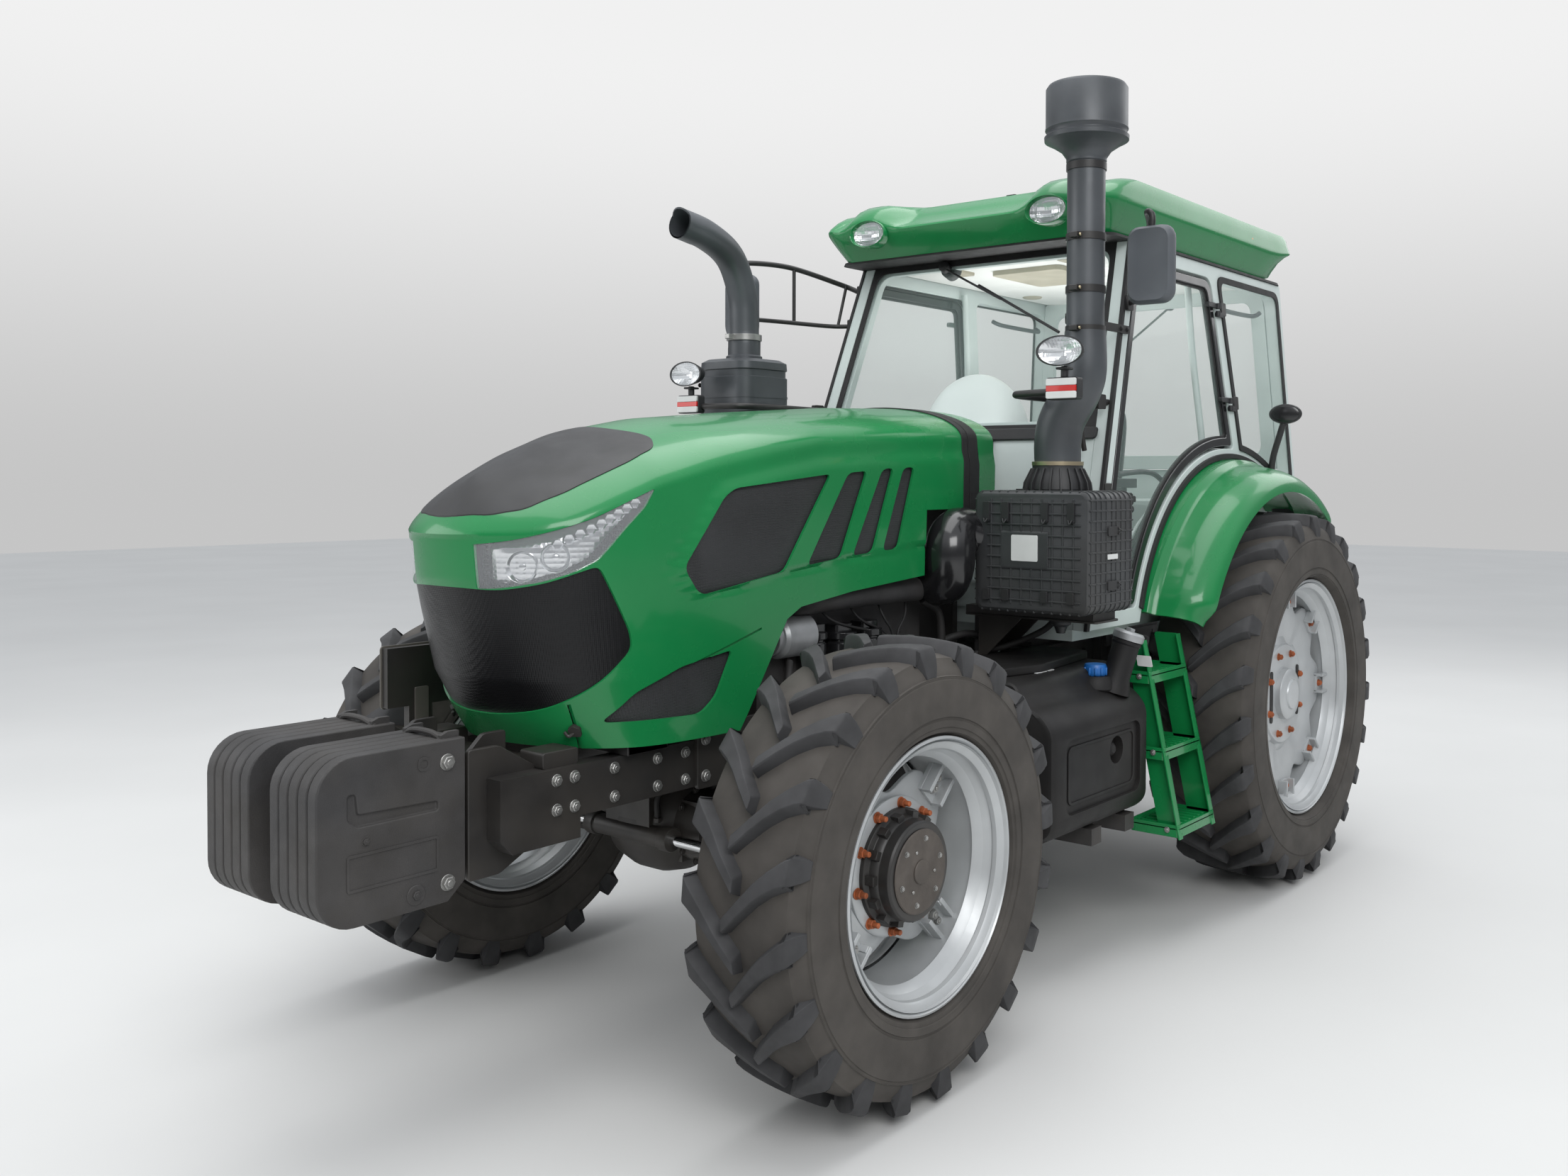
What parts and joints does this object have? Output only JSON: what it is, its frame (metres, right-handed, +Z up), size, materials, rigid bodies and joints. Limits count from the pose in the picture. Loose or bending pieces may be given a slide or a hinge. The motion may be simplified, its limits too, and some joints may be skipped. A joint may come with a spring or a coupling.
{
  "type": "farm tractor",
  "caption": "Four-wheel-drive farm tractor with a closed cab, tilting hood, front suitcase weights, lugged tyres, side steps and a rear three-point linkage.",
  "frame": {"origin": "on the ground, under the middle of the tractor's overall length and width", "axes": "+X forward towards the front weights, +Y to the driver's left, +Z up"},
  "size_m": [5.215, 2.3, 3.19],
  "materials": {
    "green_paint": "glossy mid green coach paint",
    "roof_green": "glossy green moulded roof skin",
    "black_paint": "satin black chassis paint",
    "cast_iron": "dark painted castings, slightly rough",
    "steel": "dull zinc-plated steel",
    "tyre": "grey-black dusty tractor tyre rubber",
    "rim_paint": "silver-grey wheel paint",
    "glass": "clear cab glass, faintly green",
    "lens": "clear lamp lens over bright reflectors",
    "black_plastic": "grained black plastic",
    "cab_trim": "pale grey-green cab paint and trim",
    "seat_fabric": "dark woven seat cloth"
  },
  "bodies": {
    "root": {"cowl": "green_paint", "fender_left": "green_paint", "fender_right": "green_paint", "steps_left": "green_paint", "steps_right": "green_paint", "roof": "roof_green", "front_frame": "black_paint", "front_axle": "black_paint", "drawbar": "black_paint", "muffler": "black_paint", "engine_block": "cast_iron", "transmission": "cast_iron", "rear_axle": "cast_iron", "weights_left": "cast_iron", "weights_right": "cast_iron", "top_link": "steel", "windshield": "glass", "rear_window": "glass", "radiator": "black_plastic", "fuel_tank": "black_plastic", "battery_box": "black_plastic", "air_cleaner": "black_plastic", "intake_stack": "black_plastic", "mirror_left": "black_plastic", "mirror_right": "black_plastic", "work_lamp_left": "black_plastic", "work_lamp_right": "black_plastic", "steering_wheel": "black_plastic", "seat_base": "black_plastic", "cab_tub": "cab_trim", "cab_front": "cab_trim", "cab_side_left": "cab_trim", "cab_side_right": "cab_trim", "dashboard": "cab_trim", "seat_cushion": "seat_fabric", "seat_back": "seat_fabric"},
    "hood": {"hood": "green_paint", "grille": "black_plastic", "headlight_left": "lens", "headlight_right": "lens"},
    "door_left": {"door_left": "black_paint"},
    "door_right": {"door_right": "black_paint"},
    "knuckle_left": {"knuckle_left": "black_paint"},
    "knuckle_right": {"knuckle_right": "black_paint"},
    "tie_rod": {"tie_rod": "steel"},
    "wheel_front_left": {"front_rim_left": "rim_paint", "front_tyre_left": "tyre"},
    "wheel_front_right": {"front_rim_right": "rim_paint", "front_tyre_right": "tyre"},
    "wheel_rear_left": {"rear_rim_left": "rim_paint", "rear_tyre_left": "tyre"},
    "wheel_rear_right": {"rear_rim_right": "rim_paint", "rear_tyre_right": "tyre"},
    "lower_links": {"lower_links": "steel"},
    "lift_arms": {"lift_arms": "cast_iron"},
    "lift_rod_left": {"lift_rod_left": "steel"},
    "lift_rod_right": {"lift_rod_right": "steel"}
  },
  "joints": [
    {"name": "hood_lift", "type": "hinge", "parent": "root", "child": "hood", "pos_m": [0.1465, 0, 2.014], "axis": [0, -1, 0], "range_deg": [0, 45]},
    {"name": "door_left_swing", "type": "hinge", "parent": "root", "child": "door_left", "pos_m": [-1.4398, 0.72508, 2.29], "axis": [0.1862, -0.0709, 0.9799], "range_deg": [0, 75]},
    {"name": "door_right_swing", "type": "hinge", "parent": "root", "child": "door_right", "pos_m": [-1.4398, -0.72508, 2.29], "axis": [-0.1862, -0.0709, -0.9799], "range_deg": [0, 75]},
    {"name": "steer_left", "type": "hinge", "parent": "root", "child": "knuckle_left", "pos_m": [1.2685, 0.68, 0.65], "axis": [0, 0, 1], "range_deg": [-35, 35]},
    {"name": "steer_right", "type": "hinge", "parent": "root", "child": "knuckle_right", "pos_m": [1.2685, -0.68, 0.65], "axis": [0, 0, 1], "range_deg": [-35, 35]},
    {"name": "tie_rod_end", "type": "hinge", "parent": "knuckle_left", "child": "tie_rod", "pos_m": [1.0385, 0.64, 0.523], "axis": [0, 0, 1], "range_deg": [-35, 35]},
    {"name": "front_left_spin", "type": "hinge", "parent": "knuckle_left", "child": "wheel_front_left", "pos_m": [1.2685, 0.9, 0.65], "axis": [0, 1, 0], "continuous": true},
    {"name": "front_right_spin", "type": "hinge", "parent": "knuckle_right", "child": "wheel_front_right", "pos_m": [1.2685, -0.9, 0.65], "axis": [0, 1, 0], "continuous": true},
    {"name": "rear_left_spin", "type": "hinge", "parent": "root", "child": "wheel_rear_left", "pos_m": [-1.4575, 0.925, 0.8], "axis": [0, 1, 0], "continuous": true},
    {"name": "rear_right_spin", "type": "hinge", "parent": "root", "child": "wheel_rear_right", "pos_m": [-1.4575, -0.925, 0.8], "axis": [0, 1, 0], "continuous": true},
    {"name": "linkage_lift", "type": "hinge", "parent": "root", "child": "lower_links", "pos_m": [-1.7475, 0, 0.56], "axis": [0, 1, 0], "range_deg": [-18, 30]},
    {"name": "lift_arm_turn", "type": "hinge", "parent": "root", "child": "lift_arms", "pos_m": [-1.7475, 0, 1.16], "axis": [0, 1, 0], "range_deg": [-18, 30]},
    {"name": "lift_rod_left_turn", "type": "hinge", "parent": "lower_links", "child": "lift_rod_left", "pos_m": [-2.1475, 0.3597, 0.56], "axis": [0, 1, 0], "range_deg": [-30, 18]},
    {"name": "lift_rod_right_turn", "type": "hinge", "parent": "lower_links", "child": "lift_rod_right", "pos_m": [-2.1475, -0.3597, 0.56], "axis": [0, 1, 0], "range_deg": [-30, 18]}
  ],
  "couplings": [
    {"joint": "steer_right", "follows": "steer_left", "ratio": 1},
    {"joint": "tie_rod_end", "follows": "steer_left", "ratio": -1},
    {"joint": "lift_arm_turn", "follows": "linkage_lift", "ratio": 1},
    {"joint": "lift_rod_left_turn", "follows": "linkage_lift", "ratio": -1},
    {"joint": "lift_rod_right_turn", "follows": "linkage_lift", "ratio": -1}
  ]
}
